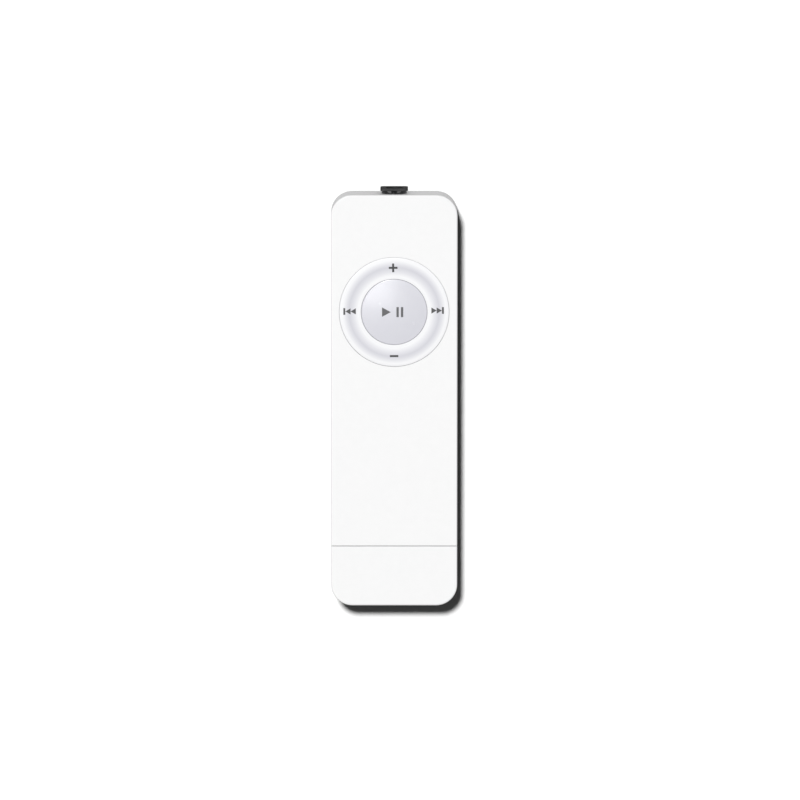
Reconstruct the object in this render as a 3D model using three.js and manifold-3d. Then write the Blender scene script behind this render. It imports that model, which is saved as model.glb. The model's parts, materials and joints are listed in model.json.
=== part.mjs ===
// A pocket flash audio player with a round control pad, a headphone jack and a capped USB plug.
// Millimetres, +Z up. The player lies on its back: +Y is the jack end, -Y the cap, the face is up.
// The origin is under the middle of the whole player, on the surface it lies on.

import * as THREE from 'three';
import { mergeVertices } from 'three/addons/utils/BufferGeometryUtils.js';
import Module from 'manifold-3d';

const wasm = await Module();
wasm.setup();

// ---------------------------------------------------------------- driving dimensions

const width = 25;
const thickness = 8.4;
const length = 81.95; // from the cap's end to the jack end, without the jack's collar
const collarProud = 1.1;
const cornerRadius = 4.2;
const edgeRadius = 0.3;
const sideWall = 1.1;
const skin = 1;
const fitGap = 0.1; // between pieces that are glued, clipped or laid together

const capLength = 11.86;
const capEndWall = 0.7;
const capGap = 0.15;

const padFromJackEnd = 23.2; // the control pad's centre, from the jack end
const ringRadius = 10.85;
const playRadius = 6.5;
const padGap = 0.12; // all round the ring and all round the play button
const padTravel = 0.2;
const switchCircle = 8.6; // radius that the four ring switches stand on

const plugWidth = 12; // USB type A plug
const plugHeight = 4.5;
const plugWall = 0.3;
const jackBore = 3.5; // headphone plug diameter
const collarRadius = { waist: 2.5, hole: 2.56, flange: 2.95 };
const collarLip = { half: 2.7, corner: 0.45, depth: 0.48 }; // squared, in front of the round waist

const knobTravel = 6;
const knobLength = 5.4;

// ---------------------------------------------------------------- places that follow from them

const capEndY = -(length + collarProud) / 2;
const jackEndY = capEndY + length;
const capMouthY = capEndY + capLength;
const bodyEndY = capMouthY + capGap;
const padY = jackEndY - padFromJackEnd;
const middleZ = thickness / 2;
const innerX = width / 2 - sideWall;
const innerY = jackEndY - sideWall;
const innerTopZ = thickness - skin;
const innerCorner = cornerRadius - sideWall;

const boardThickness = 0.8;
const boardTopZ = 4; // upper face of the main board
const boardUnderZ = boardTopZ - boardThickness;
const boardX = 10.8;
const board = { plugEndY: -27, jackEndY: 38 };
const boardPost = { x: 9.2, nearPlugY: -24.5, nearJackY: 33.5, radius: 1.3 };
const screwCore = 0.55; // radius of the holes that the screws cut their thread in
const screwHole = 0.65; // radius of the holes that they pass through

const padBoardZ = 5.6; // upper face of the control board
const padBoardThickness = 0.6;
const padBoss = { reach: 9.3, radius: 1.2 }; // reach: each way from the pad's centre
const domeHeight = 0.25;
const pipHeight = 0.25; // of the rubber web's pips over the switches
const membraneZ = padBoardZ + domeHeight + padTravel + pipHeight; // underside of the rubber web
const membraneThickness = 0.3;

const knobY = 18.4; // middle of the switch knob when the player is off
const trackY = knobY + knobTravel / 2;
const batteryButtonY = 8;
const buttonRadius = 2;
const lightPipeY = 3;
const pipeRadius = 0.7;

// ---------------------------------------------------------------- materials

const colours = {
  whitePlastic: [0xf4f4f2, 0.45, 0],
  ringPlastic: [0xefeff3, 0.2, 0],
  buttonPlastic: [0xe2e2e9, 0.25, 0],
  greyPlastic: [0xc9c9cc, 0.5, 0],
  blackPlastic: [0x121213, 0.12, 0],
  darkPlastic: [0x2a2a2c, 0.6, 0],
  clearPlastic: [0xd8e6df, 0.15, 0],
  greenStrip: [0x5fb548, 0.5, 0],
  rubber: [0xd4d6d8, 0.8, 0],
  board: [0x1f5c3a, 0.5, 0],
  chip: [0x1b1b1e, 0.55, 0],
  ceramic: [0xb79a72, 0.5, 0],
  ferrite: [0x3c3b3d, 0.7, 0],
  steel: [0xc6c7c9, 0.28, 1],
  gold: [0xcfa750, 0.3, 1],
  pouch: [0xb5b8bb, 0.35, 1],
  redWire: [0xb3261e, 0.5, 0],
  blackWire: [0x19191a, 0.5, 0],
};

function paint(name) {
  const [color, roughness, metalness] = colours[name];
  return new THREE.MeshStandardMaterial({ color, roughness, metalness });
}

// ---------------------------------------------------------------- shapes

// A box between two limits along each axis.
function block([x0, x1], [y0, y1], [z0, z1]) {
  const box = new THREE.BoxGeometry(x1 - x0, y1 - y0, z1 - z0);
  return box.translate((x0 + x1) / 2, (y0 + y1) / 2, (z0 + z1) / 2);
}

function roundedOutline([x0, x1], [y0, y1], radius) {
  const outline = new THREE.Shape();
  outline.absarc(x1 - radius, y0 + radius, radius, -Math.PI / 2, 0);
  outline.absarc(x1 - radius, y1 - radius, radius, 0, Math.PI / 2);
  outline.absarc(x0 + radius, y1 - radius, radius, Math.PI / 2, Math.PI);
  outline.absarc(x0 + radius, y0 + radius, radius, Math.PI, 1.5 * Math.PI);
  return outline;
}

// A box with its four upright edges rounded, and its two flat faces' edges too where bevel is given.
function roundedBlock(xs, ys, [z0, z1], radius, bevel = 0) {
  const prism = new THREE.ExtrudeGeometry(roundedOutline(xs, ys, radius), {
    depth: z1 - z0 - 2 * bevel,
    curveSegments: radius > 2 ? 4 : 2,
    bevelEnabled: bevel > 0,
    bevelSize: bevel,
    bevelOffset: -bevel,
    bevelThickness: bevel,
    bevelSegments: 3,
  });
  return prism.translate(0, 0, z0 + bevel);
}

// The same along Y: a rounded rectangle in X and Z, drawn out from y0 to y1.
function roundedBar([x0, x1], [y0, y1], [z0, z1], radius) {
  const prism = new THREE.ExtrudeGeometry(roundedOutline([x0, x1], [-z1, -z0], radius), {
    depth: y1 - y0,
    curveSegments: 2,
    bevelEnabled: false,
  });
  return prism.rotateX(-Math.PI / 2).translate(0, y0, 0);
}

// A cylinder standing on z0 and ending at z1.
function post(radius, [z0, z1], x = 0, y = 0, sides = 16) {
  const cylinder = new THREE.CylinderGeometry(radius, radius, z1 - z0, sides);
  return cylinder.rotateX(Math.PI / 2).translate(x, y, (z0 + z1) / 2);
}

// A cylinder along Y.
function rod(radius, [y0, y1], z = 0, sides = 32) {
  const cylinder = new THREE.CylinderGeometry(radius, radius, y1 - y0, sides);
  return cylinder.translate(0, (y0 + y1) / 2, z);
}

// A turned piece about Z, from [radius, height] corners.
function turned(corners, sides) {
  const profile = corners.map(([radius, height]) => new THREE.Vector2(radius, height));
  return new THREE.LatheGeometry(profile, sides).rotateX(Math.PI / 2);
}

// ---------------------------------------------------------------- joining and cutting

function signedVolume(positions, triangles) {
  let sum = 0;
  const corner = [new THREE.Vector3(), new THREE.Vector3(), new THREE.Vector3()];
  for (let t = 0; t < triangles.length; t += 3) {
    corner.forEach((point, i) => point.fromArray(positions, 3 * triangles[t + i]));
    sum += corner[0].dot(corner[1].clone().cross(corner[2])) / 6;
  }
  return sum;
}

// A closed geometry as a solid, with faces out and without the slivers at a turned piece's axis.
function solid(geometry) {
  const bare = geometry.clone();
  bare.deleteAttribute('normal');
  bare.deleteAttribute('uv');
  const merged = mergeVertices(bare, 1e-4);
  const positions = Float32Array.from(merged.attributes.position.array);
  const triangles = [];
  for (let t = 0; t < merged.index.count; t += 3) {
    const [a, b, c] = [0, 1, 2].map((i) => merged.index.getX(t + i));
    if (a !== b && b !== c && c !== a) triangles.push(a, b, c);
  }
  if (signedVolume(positions, triangles) < 0) triangles.reverse();
  const triVerts = Uint32Array.from(triangles);
  return new wasm.Manifold(new wasm.Mesh({ numProp: 3, vertProperties: positions, triVerts }));
}

function join(first, ...others) {
  return others.reduce((whole, piece) => whole.add(solid(piece)), solidOf(first));
}

function cut(first, ...tools) {
  return tools.reduce((rest, tool) => rest.subtract(solid(tool)), solidOf(first));
}

function solidOf(piece) {
  return piece.isBufferGeometry ? solid(piece) : piece;
}

function geometryOf(piece) {
  const mesh = solidOf(piece).getMesh();
  const geometry = new THREE.BufferGeometry();
  geometry.setAttribute('position', new THREE.BufferAttribute(mesh.vertProperties, 3));
  geometry.setIndex(new THREE.BufferAttribute(mesh.triVerts, 1));
  geometry.computeVertexNormals();
  return geometry;
}

function part(name, piece, colour, place = [0, 0, 0]) {
  const mesh = new THREE.Mesh(geometryOf(piece), paint(colour));
  mesh.name = name;
  mesh.position.set(...place);
  return mesh;
}

function groupOf(...members) {
  const group = new THREE.Group();
  group.add(...members);
  return group;
}

// ---------------------------------------------------------------- casing

const beyond = 5; // how far a cutting tool runs past the face that it opens

const everyCorner = [-1, 1].flatMap((sx) => [-1, 1].map((sy) => [sx, sy]));
const boardPosts = [boardPost.nearPlugY, boardPost.nearJackY].flatMap((y) =>
  [-1, 1].map((side) => [side * boardPost.x, y]),
);

// The whole outside shape, between two limits along Y and Z.
function casingSlice(ys, zs) {
  const whole = roundedBlock(
    [-width / 2, width / 2],
    [capEndY, jackEndY],
    [0, thickness],
    cornerRadius,
    edgeRadius,
  );
  return solid(whole).intersect(solid(block([-width, width], ys, zs)));
}

// The room inside the casing, widened by `more`, open at the plug end.
function casingRoom(more, zs) {
  const corner = innerCorner + more;
  return roundedBlock([-innerX - more, innerX + more], [bodyEndY - beyond, innerY + more], zs, corner);
}

const seam = 0.1; // between the front and back shells
const lipHeight = 0.6;
const lipThickness = 0.5;
const collarHole = rod(collarRadius.hole, [innerY - 1, jackEndY + 1], middleZ);

function frontShell() {
  const outside = casingSlice([bodyEndY, length], [middleZ + seam / 2, thickness]);
  const rebate = casingRoom(lipThickness + fitGap / 2, [0, middleZ + lipHeight + fitGap]);
  const padHole = post(ringRadius + padGap, [0, thickness + 1], 0, padY, 48);
  const tray = cut(outside, casingRoom(0, [0, innerTopZ]), rebate, padHole, collarHole);
  const spots = everyCorner.map(([sx, sy]) => [sx * padBoss.reach, padY + sy * padBoss.reach]);
  const bosses = spots.map(([x, y]) => post(padBoss.radius, [padBoardZ + 0.05, innerTopZ + 0.1], x, y));
  const cores = spots.map(([x, y]) => post(screwCore, [0, innerTopZ - 0.2], x, y, 12));
  return cut(join(tray, ...bosses), ...cores);
}

const track = { halfWidth: 2.6, length: knobLength + knobTravel + 0.4, depth: 0.8, floor: 0.7, wall: 0.7 };
const slot = { halfWidth: 0.9, length: knobTravel + 1.6 };

function backShell() {
  const outside = casingSlice([bodyEndY, length], [0, middleZ - seam / 2]);
  const lipBlock = casingRoom(lipThickness, [middleZ - 1, middleZ + lipHeight]);
  const lipEnds = block([-width, width], [bodyEndY, length], [0, thickness]);
  const lipRing = solid(lipBlock).intersect(solid(lipEnds));
  const padHalf = track.halfWidth + track.wall;
  const padZs = [skin / 2, track.depth + track.floor];
  const trackPad = block([-padHalf, padHalf], alongTrack(track.length + 2 * track.wall + 0.2), padZs);
  const columns = boardPosts.map(([x, y]) => post(boardPost.radius, [skin / 2, boardUnderZ - 0.05], x, y));
  const cores = boardPosts.map(([x, y]) => post(screwCore, [skin + 0.2, boardTopZ], x, y, 12));
  const shell = cut(outside.add(lipRing), casingRoom(0, [skin, thickness]), collarHole);
  return cut(
    join(shell, trackPad, ...columns),
    ...cores,
    roundedBlock([-track.halfWidth, track.halfWidth], alongTrack(track.length), [-1, track.depth], 2.5),
    block([-slot.halfWidth, slot.halfWidth], alongTrack(slot.length), [-1, 3]),
    post(buttonRadius + 0.12, [-1, 3], 0, batteryButtonY, 24),
    post(pipeRadius + 0.1, [-1, 3], 0, lightPipeY),
  );
}

function alongTrack(size) {
  return [trackY - size / 2, trackY + size / 2];
}

// The plate that closes the plug end, with the short spigot that the cap's mouth goes over.
const spigot = { halfWidth: 8.2, halfHeight: 2.45, length: 1.5 };
const plateThickness = 1.45;

function endBezel() {
  const half = { x: innerX - fitGap, z: middleZ - skin - fitGap };
  const plate = roundedBar([-half.x, half.x], [0, plateThickness], [-half.z, half.z], 0.5);
  const nose = roundedBar(
    [-spigot.halfWidth, spigot.halfWidth],
    [-spigot.length, 0.5],
    [-spigot.halfHeight, spigot.halfHeight],
    1.2,
  );
  const hole = { x: plugWidth / 2 + 0.08, z: plugHeight / 2 + 0.08 };
  const opening = roundedBar([-hole.x, hole.x], [-beyond, beyond], [-hole.z, hole.z], 0.6);
  return cut(join(plate, nose), opening);
}

// ---------------------------------------------------------------- cap

const capCorner = cornerRadius - 0.9;
const glueGap = 0.15; // between the cap and its sleeve

function usbCap() {
  const outside = casingSlice([-length, capMouthY], [0, thickness]);
  const ys = [capEndY + capEndWall, capMouthY + beyond];
  return cut(outside, roundedBlock([-innerX, innerX], ys, [skin, innerTopZ], capCorner));
}

// The sleeve glued into the cap, which grips the plug.
function capLiner() {
  const half = innerX - glueGap;
  const ys = [capEndY + capEndWall + glueGap, capMouthY + beyond];
  const zs = [skin + fitGap, innerTopZ - fitGap];
  const sleeve = solid(roundedBlock([-half, half], ys, zs, capCorner - glueGap));
  const kept = sleeve.intersect(solid(block([-width, width], [-length, capMouthY - 0.2], [0, thickness])));
  const mouth = { x: spigot.halfWidth + 0.15, z: spigot.halfHeight + 0.15 };
  const bore = { x: plugWidth / 2 + 0.15, z: plugHeight / 2 + 0.15 };
  const mouthY = bodyEndY - spigot.length - 0.25;
  return cut(
    kept,
    block([-mouth.x, mouth.x], [mouthY, 0], [middleZ - mouth.z, middleZ + mouth.z]),
    block([-bore.x, bore.x], [-length, 0], [middleZ - bore.z, middleZ + bore.z]),
  );
}

// ---------------------------------------------------------------- control pad (Z is the player's own)

const ringInner = playRadius + padGap;
const crest = { radius: 8.9, halfWidth: 1.9, height: 0.06 }; // the ring's face is slightly arched
const padEdge = 0.1; // chamfer round the ring's and the play button's faces
const webUnderZ = 7.5;
const ringFlange = { radius: ringRadius + 0.35, inside: ringRadius - 0.55, zs: [6.65, 7] };
const playFlange = { radius: playRadius + 0.55, zs: [7, 7.25] };
const playStemRadius = 1.5;
const ringPegRadius = 0.8;
const pegGap = { sideways: 0.06, lengthways: 0.22 }; // over the rubber web

function controlRing() {
  const ring = turned(
    [
      [ringInner, webUnderZ],
      [ringInner, thickness - padEdge],
      [ringInner + padEdge, thickness],
      [crest.radius - crest.halfWidth / 2, thickness + crest.height / 2],
      [crest.radius, thickness + crest.height],
      [crest.radius + crest.halfWidth / 2, thickness + crest.height / 2],
      [ringRadius - padEdge, thickness],
      [ringRadius, thickness - padEdge],
      [ringRadius, ringFlange.zs[1]],
      [ringFlange.radius, ringFlange.zs[1]],
      [ringFlange.radius, ringFlange.zs[0]],
      [ringFlange.inside, ringFlange.zs[0]],
      [ringFlange.inside, webUnderZ],
      [ringInner, webUnderZ],
    ],
    48,
  );
  const webTopZ = webUnderZ + 0.1;
  const membraneTopZ = membraneZ + membraneThickness;
  const peg = (gap, x, y) => post(ringPegRadius, [membraneTopZ + gap, webTopZ], x, y);
  const sideways = [-1, 1].map((s) => peg(pegGap.sideways, s * switchCircle, 0));
  const lengthways = [-1, 1].map((s) => peg(pegGap.lengthways, 0, s * switchCircle));
  return join(ring, ...sideways, ...lengthways);
}

function playButton() {
  const stemZ = padBoardZ + domeHeight + padTravel + 0.1;
  return turned(
    [
      [0, stemZ],
      [playStemRadius, stemZ],
      [playStemRadius, playFlange.zs[0]],
      [playFlange.radius, playFlange.zs[0]],
      [playFlange.radius, playFlange.zs[1]],
      [playRadius, playFlange.zs[1]],
      [playRadius, thickness - 2 * padEdge],
      [playRadius - padEdge, thickness - padEdge],
      [playRadius * 0.75, thickness + 0.02],
      [playRadius * 0.4, thickness + 0.08],
      [0, thickness + 0.1],
    ],
    48,
  );
}

const membraneRadius = { inner: 7.3, outer: 10 };

// The rubber web under the ring, with a pip over each of its four switches.
function padMembrane() {
  const topZ = membraneZ + membraneThickness;
  const web = turned(
    [
      [membraneRadius.inner, membraneZ],
      [membraneRadius.outer, membraneZ],
      [membraneRadius.outer, topZ],
      [membraneRadius.inner, topZ],
      [membraneRadius.inner, membraneZ],
    ],
    32,
  );
  const pipZs = [membraneZ - pipHeight, membraneZ + 0.1];
  return join(web, ...ringSwitches.map(({ at: [x, y] }) => post(0.7, pipZs, x, y)));
}

const ringSwitches = [
  { name: 'dome_plus', at: [0, switchCircle] },
  { name: 'dome_minus', at: [0, -switchCircle] },
  { name: 'dome_previous', at: [-switchCircle, 0] },
  { name: 'dome_next', at: [switchCircle, 0] },
];

// A snap dome standing on the control board.
function dome(radius) {
  return turned(
    [
      [0, 0.02],
      [radius, 0.02],
      [radius * 0.8, domeHeight * 0.6],
      [radius * 0.4, domeHeight * 0.95],
      [0, domeHeight],
    ],
    16,
  );
}

const padBoardY = 10.9; // half the control board's length

function controlBoard() {
  const zs = [padBoardZ - padBoardThickness, padBoardZ];
  const plate = roundedBlock([-boardX, boardX], [-padBoardY, padBoardY], zs, 1);
  const holes = everyCorner.map(([sx, sy]) =>
    post(screwHole, [0, thickness], sx * padBoss.reach, sy * padBoss.reach, 12),
  );
  return cut(plate, ...holes);
}

const screwHead = { radius: 0.95, flat: 0.6, height: 0.4, seat: 0.02 };
const shankRadius = 0.48;

// A small pan-head screw with its head under z = 0 and its shank up along Z.
function screw(shankLength) {
  return turned(
    [
      [0, -screwHead.height],
      [screwHead.flat, -screwHead.height],
      [screwHead.radius, -0.25],
      [screwHead.radius, -screwHead.seat],
      [shankRadius, -screwHead.seat],
      [shankRadius, shankLength - 0.2],
      [0, shankLength],
    ],
    12,
  );
}

function controlPad() {
  const screwZ = padBoardZ - padBoardThickness;
  const pad = groupOf(
    part('control_ring', controlRing(), 'ringPlastic'),
    part('play_button', playButton(), 'buttonPlastic'),
    part('pad_membrane', padMembrane(), 'rubber'),
    part('control_board', controlBoard(), 'board'),
    part('dome_play', dome(2.4), 'steel', [0, 0, padBoardZ]),
    ...ringSwitches.map(({ name, at: [x, y] }) => part(name, dome(1.9), 'steel', [x, y, padBoardZ])),
    ...everyCorner.map(([sx, sy], i) =>
      part(`pad_screw_${i + 1}`, screw(1.8), 'steel', [sx * padBoss.reach, sy * padBoss.reach, screwZ]),
    ),
    part('board_connector', block([-3, 3], [-1.2, 1.2], [boardTopZ + 0.04, screwZ - 0.04]), 'darkPlastic'),
  );
  pad.position.set(0, padY, 0);
  return pad;
}

// ---------------------------------------------------------------- headphone jack (origin on the jack end)

const boreRadius = jackBore / 2 + 0.05;
const flangeYs = [-1.3, -1.15]; // just inside the casing's end wall

// The collar: a squared lip in front of the casing, which clamps the round waist behind it.
function jackCollar() {
  const sleeveEnd = collarProud - collarLip.depth / 2;
  const sleeve = turned(
    [
      [0, flangeYs[0]],
      [collarRadius.flange, flangeYs[0]],
      [collarRadius.flange, flangeYs[1]],
      [collarRadius.waist, flangeYs[1]],
      [collarRadius.waist, sleeveEnd],
      [0, sleeveEnd],
    ],
    32,
  );
  const countersink = 0.25;
  const bore = turned(
    [
      [0, -beyond],
      [boreRadius, -beyond],
      [boreRadius, collarProud - countersink],
      [boreRadius + countersink + 0.05, collarProud + 0.05],
      [0, collarProud + 0.05],
    ],
    32,
  );
  const reach = [-collarLip.half, collarLip.half];
  const lip = roundedBar(reach, [collarProud - collarLip.depth, collarProud], reach, collarLip.corner);
  return cut(join(sleeve.rotateX(-Math.PI / 2), lip), bore.rotateX(-Math.PI / 2));
}

const jackContacts = [
  { name: 'jack_tip_contact', side: -1, from: -9.6 },
  { name: 'jack_ring_contact', side: 1, from: -7.2 },
  { name: 'jack_sleeve_contact', side: -1, from: -4.6 },
];

const contact = { length: 2.1, halfHeight: 0.6 };

function jackBody() {
  const box = block([-3.1, 3.1], [-11.4, -1.4], [-2.5, 2.5]);
  const roomZs = [-contact.halfHeight - fitGap, contact.halfHeight + fitGap];
  const room = jackContacts.map(({ side, from }) => {
    const xs = side < 0 ? [-4, -1.5] : [1.5, 4];
    return block(xs, [from - fitGap, from + contact.length + fitGap], roomZs);
  });
  return cut(box, rod(boreRadius, [-10.4, 0]), ...room);
}

function headphoneJack() {
  const jack = groupOf(
    part('jack_collar', jackCollar(), 'blackPlastic'),
    part('jack_body', jackBody(), 'darkPlastic'),
    ...jackContacts.map(({ name, side, from }) => {
      const xs = side < 0 ? [-3.3, -1.95] : [1.95, 3.3];
      const leaf = block(xs, [0, contact.length], [-contact.halfHeight, contact.halfHeight]);
      return part(name, leaf, 'gold', [0, from, 0]);
    }),
  );
  jack.position.set(0, jackEndY, middleZ);
  return jack;
}

// ---------------------------------------------------------------- main board and what is soldered to it

const plugNotchY = -21.6; // where the notch round the USB plug ends
const jackNotchY = 28.6; // where the notch round the jack starts

function mainBoard() {
  const ys = [board.plugEndY, board.jackEndY];
  const plate = roundedBlock([-boardX, boardX], ys, [boardUnderZ, boardTopZ], 1.2);
  const plugHalf = plugWidth / 2 + 0.2;
  const plugNotch = block([-plugHalf, plugHalf], [board.plugEndY - beyond, plugNotchY], [0, thickness]);
  const jackNotch = block([-3.45, 3.45], [jackNotchY, board.jackEndY + beyond], [0, thickness]);
  const holes = boardPosts.map(([x, y]) => post(screwHole, [0, thickness], x, y, 12));
  return cut(plate, plugNotch, jackNotch, ...holes);
}

// Chips and other small parts under the board: middle, size and height.
const soldered = [
  { name: 'flash_chip', at: [0, -14.8], size: [18.4, 12, 1.1], colour: 'chip' },
  { name: 'decoder_chip', at: [0, -3.8], size: [9, 9, 1], colour: 'chip' },
  { name: 'regulator_chip', at: [7.6, 8], size: [3, 3, 0.8], colour: 'chip' },
  { name: 'power_inductor', at: [7.6, 13], size: [3.2, 3.2, 1.4], colour: 'ferrite' },
  { name: 'clock_crystal', at: [-7.6, 2.6], size: [3.2, 1.6, 0.7], colour: 'steel' },
  { name: 'battery_led', at: [0, lightPipeY], size: [1.6, 0.9, 0.5], colour: 'clearPlastic' },
  { name: 'capacitor_1', at: [7.6, 3.2], size: [2, 1.2, 0.9], colour: 'ceramic' },
  { name: 'capacitor_2', at: [-7.6, 8], size: [2, 1.2, 0.9], colour: 'ceramic' },
  { name: 'capacitor_3', at: [-7.6, 12], size: [2, 1.2, 0.9], colour: 'ceramic' },
];

function electronics() {
  const under = boardUnderZ - 0.04;
  const screws = boardPosts.map(([x, y], i) => {
    const upsideDown = part(`board_screw_${i + 1}`, screw(2.2), 'steel', [x, y, boardTopZ]);
    upsideDown.rotation.x = Math.PI;
    return upsideDown;
  });
  const chips = soldered.map(({ name, at: [x, y], size: [sx, sy, sz], colour }) => {
    const body = block([-sx / 2, sx / 2], [-sy / 2, sy / 2], [-sz, 0]);
    return part(name, body, colour, [x, y, under]);
  });
  return groupOf(part('main_board', mainBoard(), 'board'), ...screws, ...chips);
}

// ---------------------------------------------------------------- battery

const battery = { halfWidth: 8, y0: -21, y1: 3.4, z0: 4.25, z1: 7.1 };

function batteryCell() {
  const { halfWidth, y0, y1, z0, z1 } = battery;
  return roundedBlock([-halfWidth, halfWidth], [y0, y1], [z0, z1], 0.9, 0.3);
}

// The frame round the cell, standing on the board.
function batteryFrame() {
  const slack = 0.15;
  const inside = { x: battery.halfWidth + slack, y0: battery.y0 - slack, y1: battery.y1 + slack };
  const wall = 0.75;
  const zs = [boardTopZ + 0.05, 5.6];
  const outer = block([-inside.x - wall, inside.x + wall], [inside.y0 - wall, inside.y1 + wall], zs);
  return cut(outer, block([-inside.x, inside.x], [inside.y0, inside.y1], [0, thickness]));
}

// A lead from over the frame's end wall down to the board.
function batteryLead() {
  const route = new THREE.CatmullRomCurve3([
    new THREE.Vector3(0, 3.5, 6.3),
    new THREE.Vector3(0, 4.7, 6.2),
    new THREE.Vector3(0, 5.2, 5.4),
    new THREE.Vector3(0, 5.2, boardTopZ + 0.05),
  ]);
  const section = new THREE.Shape();
  section.absarc(0, 0, 0.4, 0, 2 * Math.PI);
  return new THREE.ExtrudeGeometry(section, { steps: 10, curveSegments: 4, extrudePath: route });
}

function power() {
  const pad = block([-6, 6], [-18, 1], [boardTopZ + 0.02, battery.z0 - 0.02]);
  return groupOf(
    part('battery_cell', batteryCell(), 'pouch'),
    part('battery_frame', batteryFrame(), 'greyPlastic'),
    part('battery_pad', pad, 'rubber'),
    part('battery_lead_plus', batteryLead(), 'redWire', [2, 0, 0]),
    part('battery_lead_minus', batteryLead(), 'blackWire', [-2, 0, 0]),
  );
}

// ---------------------------------------------------------------- power switch and battery check on the back

const knob = { halfWidth: 2.3, corner: 2.2, zs: [0.05, 0.6] };
const knobStem = { halfWidth: 0.65, halfLength: 0.6, topZ: 2.4 };

function switchKnob() {
  const half = knobLength / 2;
  const cover = roundedBlock([-knob.halfWidth, knob.halfWidth], [-half, half], knob.zs, knob.corner);
  const stemXs = [-knobStem.halfWidth, knobStem.halfWidth];
  return join(cover, block(stemXs, [-knobStem.halfLength, knobStem.halfLength], [0.4, knobStem.topZ]));
}

// The coloured strip at the bottom of the track, which the knob uncovers.
function switchStrip() {
  const half = track.length / 2 - 0.2;
  const zs = [track.depth - 0.12, track.depth - 0.02];
  const strip = roundedBlock([-2.4, 2.4], [-half, half], zs, 2.3);
  return cut(strip, block([-1, 1], [-slot.length / 2 - 0.1, slot.length / 2 + 0.1], [0, 2]));
}

function switchBody() {
  const body = block([-3, 3], [-6.5, 6.5], [track.depth + track.floor + 0.1, boardUnderZ - 0.05]);
  return cut(body, block([-0.95, 0.95], [-slot.length / 2 - 0.3, slot.length / 2 + 0.3], [0, 2.6]));
}

const buttonFlange = { radius: buttonRadius + 0.5, zs: [1.1, 1.35] };
const buttonStem = { radius: 0.7, topZ: 1.6 };

function batteryButton() {
  return turned(
    [
      [0, 0.1],
      [buttonRadius - 0.15, 0.1],
      [buttonRadius, 0.25],
      [buttonRadius, buttonFlange.zs[0]],
      [buttonFlange.radius, buttonFlange.zs[0]],
      [buttonFlange.radius, buttonFlange.zs[1]],
      [buttonStem.radius, buttonFlange.zs[1]],
      [buttonStem.radius, buttonStem.topZ],
      [0, buttonStem.topZ],
    ],
    24,
  );
}

function batterySwitch() {
  const body = block([-1.5, 1.5], [-1.5, 1.5], [2, boardUnderZ - 0.05]);
  return join(body, post(0.75, [1.9, 2.1]));
}

const pipe = { underZ: 0.06, topZ: 2.5 };
const pipeFlange = { radius: pipeRadius + 0.5, zs: [1.05, 1.4] };

function lightPipe() {
  return turned(
    [
      [0, pipe.underZ],
      [pipeRadius, pipe.underZ],
      [pipeRadius, pipeFlange.zs[0]],
      [pipeFlange.radius, pipeFlange.zs[0]],
      [pipeFlange.radius, pipeFlange.zs[1]],
      [pipeRadius, pipeFlange.zs[1]],
      [pipeRadius, pipe.topZ],
      [0, pipe.topZ],
    ],
    16,
  );
}

function backControls() {
  return groupOf(
    part('switch_knob', switchKnob(), 'whitePlastic', [0, knobY, 0]),
    part('switch_strip', switchStrip(), 'greenStrip', [0, trackY, 0]),
    part('slide_switch_body', switchBody(), 'darkPlastic', [0, trackY, 0]),
    part('battery_button', batteryButton(), 'greyPlastic', [0, batteryButtonY, 0]),
    part('battery_switch', batterySwitch(), 'darkPlastic', [0, batteryButtonY, 0]),
    part('battery_light_pipe', lightPipe(), 'clearPlastic', [0, lightPipeY, 0]),
  );
}

// ---------------------------------------------------------------- USB plug (origin in the middle of its tip)

const plugTipY = capEndY + capEndWall + 0.15;
const plugLength = 18.6; // 11 mm of it stands out of the casing
const latchWindow = { x: 3.3, halfWidth: 1.1, ys: [4.2, 6.4] };
const contactXs = [-3.5, -1, 1, 3.5];
const contactYs = [1.2, 12.3];

function usbShell() {
  const half = { x: plugWidth / 2, z: plugHeight / 2 };
  const tube = roundedBar([-half.x, half.x], [0, plugLength], [-half.z, half.z], 0.6);
  const inside = { x: half.x - plugWall, z: half.z - plugWall };
  const hollow = roundedBar([-inside.x, inside.x], [-1, plugLength + 1], [-inside.z, inside.z], 0.3);
  const windows = [-latchWindow.x, latchWindow.x].map((x) => {
    const xs = [x - latchWindow.halfWidth, x + latchWindow.halfWidth];
    return block(xs, latchWindow.ys, [-plugHeight, plugHeight]);
  });
  return cut(tube, hollow, ...windows);
}

// The insulator: a tongue under the contacts, and a full-height block behind them.
const tongueTopZ = -0.05;

function usbTongue() {
  const x = plugWidth / 2 - plugWall - 0.12;
  const z = plugHeight / 2 - plugWall - 0.12;
  const tongue = block([-x, x], [0.6, plugLength - 0.2], [-z, tongueTopZ]);
  return join(tongue, block([-x, x], [12.5, plugLength - 0.2], [-z, z]));
}

function usbPlug() {
  const contactStrip = () => block([-0.5, 0.5], contactYs, [tongueTopZ + 0.02, tongueTopZ + 0.2]);
  const plug = groupOf(
    part('usb_shell', usbShell(), 'steel'),
    part('usb_tongue', usbTongue(), 'whitePlastic'),
    ...contactXs.map((x, i) => part(`usb_contact_${i + 1}`, contactStrip(), 'gold', [x, 0, 0])),
  );
  plug.position.set(0, plugTipY, middleZ);
  return plug;
}

// ---------------------------------------------------------------- the player

function casing() {
  return groupOf(
    part('front_shell', frontShell(), 'whitePlastic'),
    part('back_shell', backShell(), 'whitePlastic'),
    part('end_bezel', endBezel(), 'whitePlastic', [0, bodyEndY, middleZ]),
  );
}

function cap() {
  return groupOf(part('usb_cap', usbCap(), 'whitePlastic'), part('cap_liner', capLiner(), 'greyPlastic'));
}

export default groupOf(
  casing(),
  cap(),
  controlPad(),
  headphoneJack(),
  electronics(),
  power(),
  backControls(),
  usbPlug(),
);
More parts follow.
